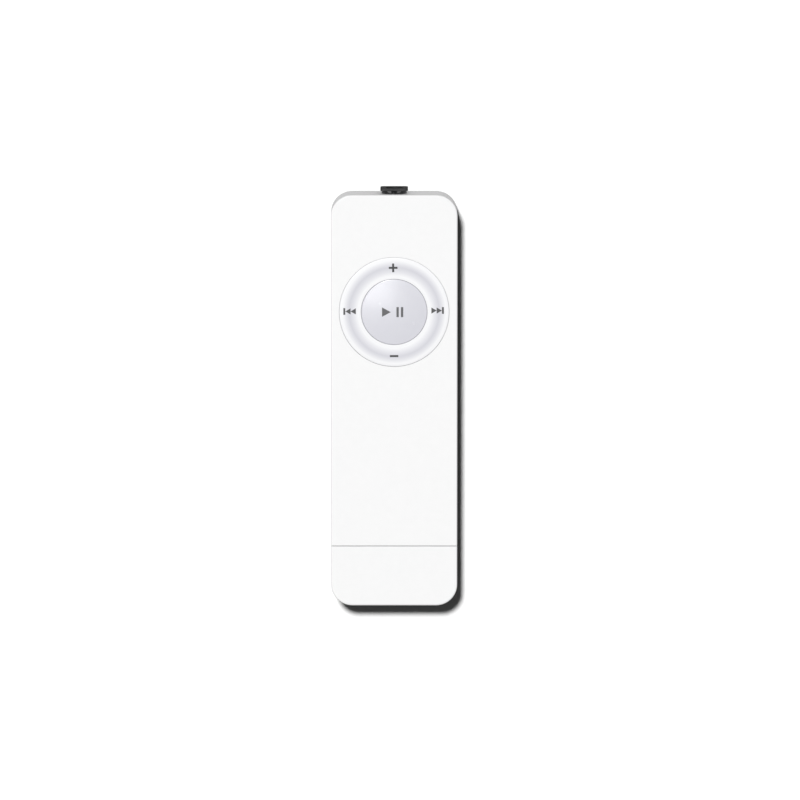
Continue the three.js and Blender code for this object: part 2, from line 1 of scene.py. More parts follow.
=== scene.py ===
"""The looks of a pocket flash audio player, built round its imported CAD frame.

Lengths are in millimetres until a piece is placed, and in metres from then on. +Y is the jack end,
-Y the cap, +Z the face. The player lies on its back on a pale floor.
"""

import json
import math

import bmesh
import bpy
from mathutils import Matrix, Vector

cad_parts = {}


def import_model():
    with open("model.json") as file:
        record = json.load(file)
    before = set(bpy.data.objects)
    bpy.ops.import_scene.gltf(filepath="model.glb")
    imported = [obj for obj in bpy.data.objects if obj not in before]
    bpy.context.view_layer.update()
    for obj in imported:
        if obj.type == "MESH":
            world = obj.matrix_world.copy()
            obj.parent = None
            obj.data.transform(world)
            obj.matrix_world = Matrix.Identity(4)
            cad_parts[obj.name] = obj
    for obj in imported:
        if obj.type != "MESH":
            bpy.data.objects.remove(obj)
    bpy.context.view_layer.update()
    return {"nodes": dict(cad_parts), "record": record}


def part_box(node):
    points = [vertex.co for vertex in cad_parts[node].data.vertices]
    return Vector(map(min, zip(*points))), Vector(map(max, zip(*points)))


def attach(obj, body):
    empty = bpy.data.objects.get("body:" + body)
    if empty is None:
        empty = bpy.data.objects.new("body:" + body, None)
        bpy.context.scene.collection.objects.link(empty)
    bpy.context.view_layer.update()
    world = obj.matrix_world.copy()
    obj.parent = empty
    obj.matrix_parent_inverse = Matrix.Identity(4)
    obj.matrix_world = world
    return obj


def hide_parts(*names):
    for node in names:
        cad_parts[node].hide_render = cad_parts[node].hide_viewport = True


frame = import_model()

# ------------------------------------------------------------------ sizes, in millimetres

MM = 0.001


def box_mm(node):
    """A CAD node's lowest and highest corners."""
    low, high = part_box(node)
    return low / MM, high / MM


front_low, front_high = box_mm("front_shell")
cap_low, cap_high = box_mm("usb_cap")
ring_low, ring_high = box_mm("control_ring")
button_low, button_high = box_mm("play_button")
plug_low, plug_high = box_mm("usb_shell")
collar_low, collar_high = box_mm("jack_collar")
knob_low, knob_high = box_mm("switch_knob")
strip_low, strip_high = box_mm("switch_strip")
key_low, key_high = box_mm("battery_button")
pipe_low, pipe_high = box_mm("battery_light_pipe")

HALF_WIDTH = front_high.x
FACE = front_high.z
MIDDLE = FACE / 2
JACK_END = front_high.y
BODY_END = front_low.y - 0.02  # this and the cap's mouth stand a touch closer than in CAD,
CAP_MOUTH = cap_high.y + 0.03  # for a fine joint line
SEAM = front_low.z
PAD_Y = (ring_low.y + ring_high.y) / 2

CORNER = 4.2  # the casing's four upright corners
EDGE = 0.3  # its long edges and outer ends
JOINT_EDGE = 0.14  # the edges either side of the cap joint
SIDE_WALL = 1.1
SKIN = 1.0
END_WALL = 1.45
CAP_END_WALL = 0.7
CAP_CORNER = CORNER - 0.9  # inside the cap
INNER_X = HALF_WIDTH - SIDE_WALL
INNER_CORNER = 0.5  # the hollows' corners at the cap joint

RING_RADIUS = 10.85
BUTTON_RADIUS = 6.5
CREST_RADIUS = 8.88  # the low crest round the ring
CREST_HALF = 1.9
CREST_HEIGHT = 0.055

BORE = 1.8  # the jack's hole, for a 3.5 mm plug
COLLAR_WAIST = 2.5


# ------------------------------------------------------------------ mesh tools


def loft(name, loops, ring=False):
    """A mesh skinned over a stack of loops. A loop is a list of points, or one point at a pole.

    With ring, the last loop joins the first. Otherwise both ends are closed by a flat face."""
    mesh = bmesh.new()
    rows = [[mesh.verts.new(point) for point in loop] for loop in loops]
    pairs = list(zip(rows, rows[1:]))
    if ring:
        pairs.append((rows[-1], rows[0]))
    for low, high in pairs:
        for i in range(max(len(low), len(high))):
            corners = [low[i % len(low)], low[(i + 1) % len(low)]]
            corners += [high[(i + 1) % len(high)], high[i % len(high)]]
            mesh.faces.new(dict.fromkeys(corners))
    if not ring:
        for row in (rows[0], rows[-1]):
            if len(row) > 1:
                mesh.faces.new(row)
    bmesh.ops.recalc_face_normals(mesh, faces=mesh.faces)
    return as_object(name, mesh)


def as_object(name, mesh):
    """An object in the scene, made from a bmesh that is then freed."""
    data = bpy.data.meshes.new(name)
    mesh.to_mesh(data)
    mesh.free()
    piece = bpy.data.objects.new(name, data)
    bpy.context.scene.collection.objects.link(piece)
    return piece


def rounded(half_x, y_low, y_high, r_low, r_high, arc=14, straight=10):
    """The points of a rounded rectangle in X and Y, with its own corner radius at each end."""
    centres = [
        (half_x - r_low, y_low + r_low, r_low, -90),
        (half_x - r_high, y_high - r_high, r_high, 0),
        (r_high - half_x, y_high - r_high, r_high, 90),
        (r_low - half_x, y_low + r_low, r_low, 180),
    ]
    points = []
    for i, (x, y, radius, start) in enumerate(centres):
        for k in range(arc + 1):
            angle = math.radians(start + 90 * k / arc)
            points.append((x + radius * math.cos(angle), y + radius * math.sin(angle)))
        x2, y2, radius2, start2 = centres[(i + 1) % 4]
        angle2 = math.radians(start2)
        end = (x2 + radius2 * math.cos(angle2), y2 + radius2 * math.sin(angle2))
        begin = points[-1]
        for k in range(1, straight + 1):
            t = k / (straight + 1)
            points.append((begin[0] + (end[0] - begin[0]) * t, begin[1] + (end[1] - begin[1]) * t))
    return points


def level(points, z):
    """Flat points, lifted to one height."""
    return [(x, y, z) for x, y in points]


def bar_loop(half_x, half_z, radius, y, arc=8):
    """A rounded rectangle in X and Z, round the middle of the casing's thickness."""
    points = rounded(half_x, -half_z, half_z, radius, radius, arc, 1)
    return [(x, y, MIDDLE + z) for x, z in points]


def turned(name, profile, centre, sides, axis="Z", ring=False):
    """A turned piece from (radius, height) points, about Z or Y through centre."""
    loops = []
    for radius, height in profile:
        count = sides if radius > 1e-6 else 1
        loop = []
        for k in range(count):
            angle = 2 * math.pi * k / sides
            across, along = radius * math.cos(angle), radius * math.sin(angle)
            point = (across, along, height) if axis == "Z" else (across, height, along)
            loop.append(Vector(point) + Vector(centre))
        loops.append(loop)
    return loft(name, loops, ring)


def arc_points(centre, radius, start, end, steps=6):
    """(radius, height) points on a round edge of a turned profile, between two angles in degrees."""
    points = []
    for k in range(steps + 1):
        angle = math.radians(start + (end - start) * k / steps)
        points.append((centre[0] + radius * math.cos(angle), centre[1] + radius * math.sin(angle)))
    return points


def roll_off(radius, top, width, drop):
    """(radius, height) points over a turned face's soft outer edge, from the face to the wall."""
    first, steps = 85, 8
    turns = [math.radians(first - first * k / steps) for k in range(steps + 1)]
    return [(radius - width + width * math.cos(a), top - drop + drop * math.sin(a)) for a in turns]


def block(name, low, high):
    """A box between two corners."""
    corners = [(low[0], low[1]), (high[0], low[1]), (high[0], high[1]), (low[0], high[1])]
    return loft(name, [level(corners, low[2]), level(corners, high[2])])


def apply_modifiers(piece):
    """Gives a piece the mesh that its modifiers make, and drops them."""
    shape = piece.evaluated_get(bpy.context.evaluated_depsgraph_get())
    data = bpy.data.meshes.new_from_object(shape)
    piece.modifiers.clear()
    piece.data = data


def carve(piece, *cutters):
    """Cuts the cutters out of the piece and removes them."""
    for cutter in cutters:
        cut = piece.modifiers.new("cut", "BOOLEAN")
        cut.object = cutter
        cut.operation = "DIFFERENCE"
        cut.solver = "EXACT"
    apply_modifiers(piece)
    for cutter in cutters:
        bpy.data.objects.remove(cutter)
    return piece


def soften(piece, width):
    """A small round on every sharp edge, in millimetres, before the piece is placed."""
    bevel = piece.modifiers.new("edges", "BEVEL")
    bevel.width = width
    bevel.segments = 2
    bevel.limit_method = "ANGLE"
    bevel.angle_limit = math.radians(50)
    bevel.use_clamp_overlap = True
    apply_modifiers(piece)
    return piece


def place(piece, body, material, slot, *nodes):
    """Turns a finished piece into metres, and hands it to its body and material. Its slot is not used."""
    piece.data.transform(Matrix.Scale(MM, 4))
    piece.data.shade_smooth()
    piece.data.set_sharp_from_angle(angle=math.radians(32))
    weighted = piece.modifiers.new("normals", "WEIGHTED_NORMAL")
    weighted.keep_sharp = True
    piece.data.materials.clear()
    piece.data.materials.append(material)
    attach(piece, body)
    if nodes:
        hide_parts(*nodes)
    return piece


# ------------------------------------------------------------------ materials


class Finish:
    """A material being put together: its node tree, its shader and the object's own coordinates."""

    def __init__(self, name, roughness, metallic=0.0):
        self.material = bpy.data.materials.new(name)
        self.material.use_nodes = True
        self.nodes = self.material.node_tree.nodes
        self.links = self.material.node_tree.links
        self.shader = self.nodes["Principled BSDF"]
        self.shader.inputs["Roughness"].default_value = roughness
        self.shader.inputs["Metallic"].default_value = metallic
        self.place = self.nodes.new("ShaderNodeTexCoord").outputs["Object"]

    def set(self, socket, value):
        """Sets one of the shader's own sockets."""
        self.shader.inputs[socket].default_value = value

    def noise(self, size_mm, detail=3.0, stretch=(1, 1, 1)):
        """Noise with features of about size_mm, from 0 to 1."""
        spread = self.nodes.new("ShaderNodeMapping")
        spread.inputs["Scale"].default_value = [s / (size_mm * MM) for s in stretch]
        self.links.new(self.place, spread.inputs["Vector"])
        noise = self.nodes.new("ShaderNodeTexNoise")
        noise.inputs["Scale"].default_value = 1.0
        noise.inputs["Detail"].default_value = detail
        self.links.new(spread.outputs["Vector"], noise.inputs["Vector"])
        return noise.outputs["Fac"]

    def ramp(self, source, stops):
        """Colours along a value: stops are (position, (r, g, b))."""
        ramp = self.nodes.new("ShaderNodeValToRGB")
        elements = ramp.color_ramp.elements
        while len(elements) < len(stops):
            elements.new(0.5)
        for element, (position, colour) in zip(elements, stops):
            element.position = position
            element.color = (*colour, 1)
        self.links.new(source, ramp.inputs["Fac"])
        return ramp.outputs["Color"]

    def mix(self, share, first, second):
        """Mixes two colours: share is a socket, first and second are sockets or (r, g, b)."""
        mix = self.nodes.new("ShaderNodeMix")
        mix.data_type = "RGBA"
        self.links.new(share, mix.inputs["Factor"])
        for name, value in (("A", first), ("B", second)):
            socket = next(s for s in mix.inputs if s.name == name and s.type == "RGBA")
            if isinstance(value, tuple):
                socket.default_value = (*value, 1)
            else:
                self.links.new(value, socket)
        return next(s for s in mix.outputs if s.type == "RGBA")

    def colour(self, source):
        """Takes the base colour from a socket."""
        self.links.new(source, self.shader.inputs["Base Color"])

    def vary_roughness(self, source, low, high):
        """Lets a value from 0 to 1 move the roughness between low and high."""
        spread = self.nodes.new("ShaderNodeMapRange")
        spread.inputs["To Min"].default_value = low
        spread.inputs["To Max"].default_value = high
        self.links.new(source, spread.inputs["Value"])
        self.links.new(spread.outputs["Result"], self.shader.inputs["Roughness"])

    def bump(self, source, height_mm, strength=1.0):
        """A relief of height_mm between a value's 0 and 1, in the shading only."""
        bump = self.nodes.new("ShaderNodeBump")
        bump.inputs["Strength"].default_value = strength
        bump.inputs["Distance"].default_value = height_mm * MM
        self.links.new(source, bump.inputs["Height"])
        self.links.new(bump.outputs["Normal"], self.shader.inputs["Normal"])

    def distance_from(self, x_mm, y_mm, reach_mm):
        """How far a point is from an upright axis, as a share of reach_mm."""
        shift = self.nodes.new("ShaderNodeVectorMath")
        shift.operation = "MULTIPLY_ADD"
        scale = 1 / (reach_mm * MM)
        shift.inputs[1].default_value = (scale, scale, 0)
        shift.inputs[2].default_value = (-x_mm / reach_mm, -y_mm / reach_mm, 0)
        self.links.new(self.place, shift.inputs[0])
        length = self.nodes.new("ShaderNodeVectorMath")
        length.operation = "LENGTH"
        self.links.new(shift.outputs["Vector"], length.inputs[0])
        return length.outputs["Value"]


def moulded(name, light, dark, roughness, grain_mm=0.25, bump_mm=0.002, coat=0.0, shine=0.5):
    """Moulded plastic: two near tones in a fine mottle, uneven gloss and a faint grain."""
    finish = Finish(name, roughness)
    mottle = finish.noise(1.3, 4)
    finish.colour(finish.mix(mottle, dark, light))
    finish.vary_roughness(finish.noise(3.5), roughness * 0.88, roughness * 1.12)
    finish.bump(finish.noise(grain_mm, 2), bump_mm)
    finish.set("Coat Weight", coat)
    finish.set("Coat Roughness", 0.12)
    finish.set("Specular IOR Level", shine)
    return finish.material


def ring_plastic():
    """Milky white plastic, with painted shade: its colour darkens to a lilac grey round the crest that the
    thumb follows.
    """
    roughness = 0.41
    finish = Finish("ring_white", roughness)
    white, lilac = (0.87, 0.872, 0.885), (0.622, 0.622, 0.668)
    # painted shade: white darkening to a lilac grey round the crest, then white again towards the rim
    painted_shade_tones = [
        (7.2, white),
        (8.0, (0.74, 0.74, 0.775)),
        (CREST_RADIUS, lilac),
        (9.4, (0.705, 0.705, 0.742)),
        (10.2, white),
    ]
    outwards = finish.distance_from(0, PAD_Y, RING_RADIUS)
    finish.colour(finish.ramp(outwards, [(radius / RING_RADIUS, tone) for radius, tone in painted_shade_tones]))
    finish.vary_roughness(finish.noise(4), roughness - 0.03, roughness + 0.03)
    finish.bump(finish.noise(0.3, 2), 0.001)
    finish.set("Specular IOR Level", 0.25)
    return finish.material


def metal(name, light, dark, roughness, stretch=(1, 1, 1), size_mm=0.3):
    """Plated metal: rolled or drawn streaks in its tone, gloss and bump."""
    finish = Finish(name, roughness, 1.0)
    streaks = finish.noise(size_mm, 4, stretch)
    finish.colour(finish.mix(streaks, dark, light))
    finish.vary_roughness(streaks, roughness * 0.75, roughness * 1.3)
    finish.bump(streaks, 0.001)
    return finish.material


def circuit_board():
    """Green solder mask, lighter over a net of tracks, with a faint relief."""
    finish = Finish("circuit_board", 0.38)
    cells = finish.nodes.new("ShaderNodeTexVoronoi")
    cells.distance = "MANHATTAN"
    cells.feature = "DISTANCE_TO_EDGE"
    cells.inputs["Scale"].default_value = 1 / (1.6 * MM)
    finish.links.new(finish.place, cells.inputs["Vector"])
    track, mask = (0.03, 0.19, 0.09), (0.012, 0.1, 0.045)
    finish.colour(finish.ramp(cells.outputs["Distance"], [(0.0, track), (0.09, track), (0.12, mask)]))
    finish.bump(cells.outputs["Distance"], 0.01, 0.5)
    finish.set("Coat Weight", 0.4)
    return finish.material


def collar_plastic():
    """Black plastic: polished round its waist, and matt towards its front."""
    polished, matt, turns_matt = 0.12, 0.8, JACK_END + 0.6
    finish = Finish("collar_black", matt)
    finish.colour(finish.mix(finish.noise(0.5), (0.003, 0.003, 0.0035), (0.005, 0.005, 0.0055)))
    along = finish.nodes.new("ShaderNodeSeparateXYZ")
    finish.links.new(finish.place, along.inputs["Vector"])
    gloss = finish.nodes.new("ShaderNodeMapRange")
    for socket, value in (
        ("From Min", turns_matt * MM),
        ("From Max", collar_high.y * MM),
        ("To Min", polished),
        ("To Max", matt),
    ):
        gloss.inputs[socket].default_value = value
    finish.links.new(along.outputs["Y"], gloss.inputs["Value"])
    finish.links.new(gloss.outputs["Result"], finish.shader.inputs["Roughness"])
    finish.bump(finish.noise(0.25, 2), 0.0006)
    return finish.material


def clear_plastic():
    """Slightly cloudy clear plastic."""
    finish = Finish("clear_plastic", 0.12)
    cloud = finish.noise(0.8)
    finish.colour(finish.mix(cloud, (0.62, 0.72, 0.65), (0.8, 0.88, 0.82)))
    finish.set("Transmission Weight", 0.45)
    finish.set("IOR", 1.49)
    finish.bump(finish.noise(0.2), 0.001)
    return finish.material


CASING = moulded("casing_white", (0.88, 0.88, 0.88), (0.85, 0.851, 0.851), 0.4, shine=0.3)
RING = ring_plastic()
BUTTON = moulded(
    "button_lilac", (0.66, 0.66, 0.707), (0.635, 0.635, 0.687), 0.26, grain_mm=0.4, bump_mm=0.001, coat=0.35
)
COLLAR = collar_plastic()
PRINT = moulded("print_grey", (0.12, 0.12, 0.125), (0.1, 0.1, 0.105), 0.5)
PRINT_MIDDLE = moulded("print_mid_grey", (0.085, 0.085, 0.088), (0.07, 0.07, 0.073), 0.5)
PRINT_DARK = moulded("print_dark_grey", (0.055, 0.055, 0.057), (0.042, 0.042, 0.044), 0.5)
LINER = moulded("liner_grey", (0.62, 0.62, 0.64), (0.56, 0.56, 0.58), 0.5)
DARK = moulded("dark_plastic", (0.035, 0.035, 0.037), (0.022, 0.022, 0.024), 0.5)
GREEN = moulded("strip_green", (0.2, 0.56, 0.12), (0.16, 0.48, 0.09), 0.4)
RUBBER = moulded("rubber_grey", (0.5, 0.51, 0.53), (0.42, 0.43, 0.45), 0.75, 0.12, 0.006)
CHIP = moulded("chip_black", (0.022, 0.022, 0.024), (0.012, 0.012, 0.014), 0.55, 0.1, 0.004)
CERAMIC = moulded("ceramic_tan", (0.45, 0.33, 0.19), (0.38, 0.27, 0.15), 0.5, 0.1, 0.003)
FERRITE = moulded("ferrite", (0.06, 0.06, 0.065), (0.035, 0.035, 0.04), 0.7, 0.08, 0.006)
RED_WIRE = moulded("wire_red", (0.52, 0.03, 0.02), (0.42, 0.02, 0.012), 0.45)
BLACK_WIRE = moulded("wire_black", (0.02, 0.02, 0.021), (0.012, 0.012, 0.013), 0.45)
STEEL = metal("steel", (0.68, 0.68, 0.69), (0.55, 0.55, 0.56), 0.24, (1, 0.08, 1))
GOLD = metal("gold", (0.92, 0.66, 0.26), (0.8, 0.55, 0.2), 0.22, (1, 0.1, 1))
POUCH = metal("battery_pouch", (0.6, 0.61, 0.63), (0.46, 0.47, 0.49), 0.36, (1, 1, 1), 1.5)
BOARD = circuit_board()
CLEAR = clear_plastic()


# ------------------------------------------------------------------ casing


def edge_inset(z, radius):
    """How far a wall has drawn in at height z, on its way round an edge into the face."""
    into = z - (FACE - radius)
    if into <= 0:
        return 0.0
    return radius - math.sqrt(max(radius**2 - into**2, 0.0))


def wall_heights():
    """Heights for the loops round the edge of the face, close enough together for both edge radii."""
    turns = [math.radians(90 * k / 8) for k in range(9)]
    heights = {FACE - EDGE + EDGE * math.sin(turn) for turn in turns}
    heights |= {FACE - JOINT_EDGE + JOINT_EDGE * math.sin(turn) for turn in turns[::2]}
    return sorted(round(z, 5) for z in heights)


def casing_loop(z, y_low, y_high, low, high, draw=0.0):
    """The casing's outline at height z, drawn in by draw all round.

    low and high are the (corner radius, edge radius) of its two ends."""
    sharpest = 0.03
    side = edge_inset(z, EDGE) + draw
    ends = [edge_inset(z, edge) + draw for _, edge in (low, high)]
    radii = [max(corner - inset, sharpest) for (corner, _), inset in zip((low, high), ends)]
    points = rounded(HALF_WIDTH - side, y_low + ends[0], y_high - ends[1], radii[0], radii[1])
    return level(points, z)


SEAM_LIP = 0.08  # how far the walls draw in where the halves meet
OUTER_END = (CORNER, EDGE)
JOINT_END = (JOINT_EDGE, JOINT_EDGE)


def body_walls():
    """Loops up the body's outside, from the rounded lip at its seam to its face."""
    lip = [(0.0, SEAM_LIP), (0.02, 0.04), (SEAM_LIP, 0.0)]
    heights = [(SEAM + up, draw) for up, draw in lip] + [(z, 0.0) for z in wall_heights()]
    return [casing_loop(z, BODY_END, JACK_END, JOINT_END, OUTER_END, draw) for z, draw in heights]


def inner_loop(z):
    """The outline of the body's hollow."""
    corner = CORNER - SIDE_WALL
    points = rounded(INNER_X, BODY_END + END_WALL, JACK_END - SIDE_WALL, INNER_CORNER, corner)
    return level(points, z)


def bezel_window():
    """A cutter for a half's end wall, where the end bezel sits."""
    outside, inside = BODY_END - 1, BODY_END + 3
    return loft("window", [bar_loop(INNER_X, MIDDLE - SKIN, INNER_CORNER, y) for y in (outside, inside)])


def jack_window():
    """A cutter for a half's end wall, round the jack collar's waist."""
    hole = COLLAR_WAIST + 0.06
    inside, outside = JACK_END - 4, JACK_END + 4
    profile = [(0, inside), (hole, inside), (hole, outside), (0, outside)]
    return turned("window", profile, (0, 0, MIDDLE), 64, axis="Y")


def pad_opening():
    """A cutter for the ring's hole: close at the face and wider below, where the ring leans over."""
    close, wide, bevel = RING_RADIUS + 0.045, RING_RADIUS + 0.09, 0.02
    inside, narrows, narrow = FACE - 2, FACE - 0.32, FACE - 0.2
    profile = [(0, inside), (wide, inside), (wide, narrows), (close, narrow)]
    profile += [(close, FACE - bevel), (close + 2 * bevel, FACE + bevel), (0, FACE + bevel)]
    return turned("opening", profile, (0, PAD_Y, 0), 256)


def front_casing():
    """The front half, open below, with the pad's round opening in its face."""
    inside = [inner_loop(SEAM), inner_loop(FACE - SKIN)]
    shell = loft("casing_front", inside[::-1] + body_walls())
    return carve(shell, pad_opening(), bezel_window(), jack_window())


def upside_down(loops):
    """Loops mirrored about the middle of the casing's thickness."""
    return [[(x, y, FACE - z) for x, y, z in loop] for loop in loops]


def stadium(name, middle_y, half_x, half_y, steps):
    """An upright slab with round ends along Y. Its steps are (height, how far it draws in there)."""
    loops = []
    for z, inset in steps:
        across, along = half_x - inset, half_y - inset
        radius = across - 0.01
        points = rounded(across, middle_y - along, middle_y + along, radius, radius, 12, 2)
        loops.append(level(points, z))
    return loft(name, loops)


TRACK_Y = (strip_low.y + strip_high.y) / 2
TRACK_HALF_X = 2.6
TRACK_HALF_Y = (strip_high.y - strip_low.y) / 2 + 0.2
TRACK_BEVEL = 0.12
TRACK_FLOOR = strip_high.z + 0.02
SLOT_HALF_X, SLOT_HALF_Y = 0.9, 3.8
KEY_Y = (key_low.y + key_high.y) / 2
PIPE_Y = (pipe_low.y + pipe_high.y) / 2


def power_track():
    """A cutter for the recess that the power knob slides in."""
    steps = [(-0.5, -TRACK_BEVEL), (0.0, -TRACK_BEVEL), (TRACK_BEVEL, 0.0), (TRACK_FLOOR, 0.0)]
    return stadium("track", TRACK_Y, TRACK_HALF_X, TRACK_HALF_Y, steps)


def power_slot():
    """A cutter for the slot in the recess, which the knob's stem goes through."""
    outside, inside = 0.5, 3
    low = (-SLOT_HALF_X, TRACK_Y - SLOT_HALF_Y, outside)
    return block("slot", low, (SLOT_HALF_X, TRACK_Y + SLOT_HALF_Y, inside))


def back_hole(name, y, radius, mouth, bevel, sides):
    """A cutter for a round hole through the back, widened to mouth by a bevel."""
    outside, inside = -1, 3
    profile = [(0, outside), (mouth, outside), (mouth, 0.0), (radius, bevel), (radius, inside), (0, inside)]
    return turned(name, profile, (0, y, 0), sides)


def back_casing():
    """The back half: the front's walls upside down, with holes for the controls instead of the pad."""
    outside = upside_down(body_walls())
    inside = upside_down([inner_loop(FACE - SKIN), inner_loop(SEAM)])
    shell = loft("casing_back", inside + outside)
    key_hole = back_hole("key_hole", KEY_Y, radius=2.12, mouth=2.3, bevel=0.12, sides=96)
    pipe_hole = back_hole("pipe_hole", PIPE_Y, radius=0.8, mouth=0.88, bevel=0.08, sides=48)
    return carve(shell, power_track(), power_slot(), key_hole, pipe_hole, bezel_window(), jack_window())


def cap_casing():
    """The cap: walls that match the body's, hollowed from its mouth."""
    top = [casing_loop(z, cap_low.y, CAP_MOUTH, OUTER_END, JOINT_END) for z in wall_heights()]
    shell = loft("cap_casing", upside_down(top)[::-1] + top)
    room = rounded(INNER_X, cap_low.y + CAP_END_WALL, cap_high.y + 2, CAP_CORNER, INNER_CORNER)
    return carve(shell, loft("room", [level(room, SKIN), level(room, FACE - SKIN)]))


def cap_sleeve():
    """The grey sleeve in the cap, with a wide mouth for the spigot and a bore for the plug."""
    low, high = box_mm("cap_liner")
    tall = (high.z - low.z) / 2
    corner, edge = CAP_CORNER - 0.15, 0.45
    outer = [bar_loop(high.x, tall, edge, high.y - 0.1)]
    for k in range(9):
        turn = math.pi * k / 16
        x, y = corner * math.cos(turn), corner * math.sin(turn)
        outer.append(bar_loop(high.x - corner + x, tall, edge, low.y + corner - y))
    bore, bore_corner = (6.15, 2.4), 0.5  # half width and half height
    mouth, mouth_corner, step = (8.35, 2.6), 1.2, high.y - 1.5
    inner = [
        bar_loop(*bore, bore_corner, low.y),
        bar_loop(*bore, bore_corner, step - 0.4),
        bar_loop(bore[0] + 0.35, bore[1] + 0.15, bore_corner + 0.1, step),
        bar_loop(*mouth, mouth_corner, step + 0.02),
        bar_loop(*mouth, mouth_corner, high.y - 0.2),
        bar_loop(mouth[0] + 0.15, mouth[1] + 0.1, mouth_corner, high.y),
        bar_loop(high.x - 0.1, tall - 0.1, edge - 0.05, high.y),
    ]
    return loft("cap_sleeve", outer + inner, ring=True)


def end_bezel():
    """The plate that closes the body's end, with the spigot for the cap and the plug's slot through it."""
    plate, nose, slot = (INNER_X - 0.1, MIDDLE - SKIN - 0.1), (8.2, 2.45), (6.08, 2.33)
    back, tip = BODY_END + END_WALL, BODY_END - 1.5
    loops = [
        bar_loop(*plate, INNER_CORNER, back),
        bar_loop(*plate, INNER_CORNER, BODY_END + 0.1),
        bar_loop(plate[0] - 0.08, plate[1] - 0.08, INNER_CORNER - 0.05, BODY_END),
        bar_loop(nose[0] + 0.15, nose[1] + 0.15, 1.3, BODY_END),
        bar_loop(*nose, 1.2, BODY_END - 0.15),
        bar_loop(*nose, 1.2, tip + 0.25),
        bar_loop(nose[0] - 0.1, nose[1] - 0.1, 1.15, tip + 0.06),
        bar_loop(nose[0] - 0.3, nose[1] - 0.3, 1.0, tip),
        bar_loop(slot[0] + 0.12, slot[1] + 0.07, 0.65, tip),
        bar_loop(*slot, 0.6, tip + 0.1),
        bar_loop(*slot, 0.6, back),
    ]
    return loft("end_bezel_nose", loops, ring=True)


place(front_casing(), "housing", CASING, "casing_white", "front_shell")
place(back_casing(), "housing", CASING, "casing_white", "back_shell")
place(cap_casing(), "cap", CASING, "casing_white", "usb_cap")
place(cap_sleeve(), "cap", LINER, "liner_grey", "cap_liner")
place(end_bezel(), "housing", CASING, "casing_white", "end_bezel")


# ------------------------------------------------------------------ control pad


def ring_height(radius):
    """Height of the ring's upper face, which is flat but for its low crest."""
    off = (radius - CREST_RADIUS) / CREST_HALF
    if abs(off) >= 1:
        return FACE
    return FACE + CREST_HEIGHT * (1 + math.cos(math.pi * off)) / 2


BUTTON_RISE = button_high.z - (FACE - 0.06)


def button_height(radius):
    """Height of the play button's crowned face."""
    return button_high.z - BUTTON_RISE * (radius / BUTTON_RADIUS) ** 2


def control_ring():
    """The ring: a face with a low crest, on a wall that ends in a flange under the casing."""
    inner, wall, flange = BUTTON_RADIUS + 0.055, RING_RADIUS - 0.55, RING_RADIUS + 0.35
    underside, flange_high = FACE - 0.9, FACE - 1.4
    lip, rim, rim_drop, face_steps = 0.08, 0.4, 0.13, 40
    span = RING_RADIUS - rim - inner - lip
    face = [inner + lip + span * k / face_steps for k in range(face_steps + 1)]
    profile = arc_points((inner + lip, FACE - lip), lip, 180, 95, 5)
    profile += [(radius, ring_height(radius)) for radius in face]
    profile += roll_off(RING_RADIUS, FACE, rim, rim_drop)
    profile += [(RING_RADIUS, flange_high), (flange, flange_high), (flange, ring_low.z)]
    profile += [(wall, ring_low.z), (wall, underside), (inner, underside)]
    return turned("thumb_ring", profile, (0, PAD_Y, 0), 256, ring=True)


def play_button():
    """The button: a crowned face, a flange under the ring and a stem down to its switch."""
    stem, flange = 1.5, BUTTON_RADIUS + 0.55
    flange_low, flange_high = FACE - 1.4, FACE - 1.15
    lip, lip_drop, face_steps = 0.25, 0.09, 24
    flat = BUTTON_RADIUS - lip
    edge = roll_off(BUTTON_RADIUS, button_height(flat), lip, lip_drop)
    face = [flat * k / face_steps for k in range(face_steps, -1, -1)]
    profile = [(0, button_low.z), (stem, button_low.z), (stem, flange_low), (flange, flange_low)]
    profile += [(flange, flange_high), (BUTTON_RADIUS, flange_high)] + edge[::-1]
    profile += [(radius, button_height(radius)) for radius in face]
    return turned("play_key", profile, (0, PAD_Y, 0), 256)


PRINT_LIFT = 0.006  # how far a mark stands above and below the surface
PRINT_CELL = 0.2  # how finely it follows the surface
RING_TURN = math.radians(0.6)  # the ring's print sits a touch anticlockwise,
RING_SHIFT = -0.11  # a touch to the left,
SKIP_UP = 0.22  # and its left and right marks a touch high


def cut_into_cells(mesh):
    """Cuts flat faces along a square grid, so that they can follow a curved surface."""
    for axis in (0, 1):
        normal = [0, 0, 0]
        normal[axis] = 1
        coords = [vert.co[axis] for vert in mesh.verts]
        steps = range(math.ceil(min(coords) / PRINT_CELL), math.floor(max(coords) / PRINT_CELL) + 1)
        for step in steps:
            plane = [0, 0, 0]
            plane[axis] = step * PRINT_CELL
            geometry = mesh.verts[:] + mesh.edges[:] + mesh.faces[:]
            bmesh.ops.bisect_plane(mesh, geom=geometry, plane_co=plane, plane_no=normal, dist=1e-5)


def printed(name, outlines, height, turn=0.0, shift=0.0):
    """A printed mark: flat outlines round the pad's centre, laid on the surface under them."""
    mesh = bmesh.new()
    turning, shifting = Matrix.Rotation(turn, 3, "Z"), Vector((shift, 0, 0))
    for outline in outlines:
        mesh.faces.new([mesh.verts.new(turning @ Vector((x, y, 0)) + shifting) for x, y in outline])
    cut_into_cells(mesh)
    grown = bmesh.ops.extrude_face_region(mesh, geom=mesh.faces[:])["geom"]
    top = {item for item in grown if isinstance(item, bmesh.types.BMVert)}
    for vert in mesh.verts:
        lift = PRINT_LIFT if vert in top else -PRINT_LIFT
        vert.co.z = height(math.hypot(vert.co.x, vert.co.y)) + lift
        vert.co.y += PAD_Y
    bmesh.ops.recalc_face_normals(mesh, faces=mesh.faces)
    return as_object(name, mesh)


def bar(x, y, width, height):
    """A bar round its middle."""
    left, right, low, high = x - width / 2, x + width / 2, y - height / 2, y + height / 2
    return [(left, low), (right, low), (right, high), (left, high)]


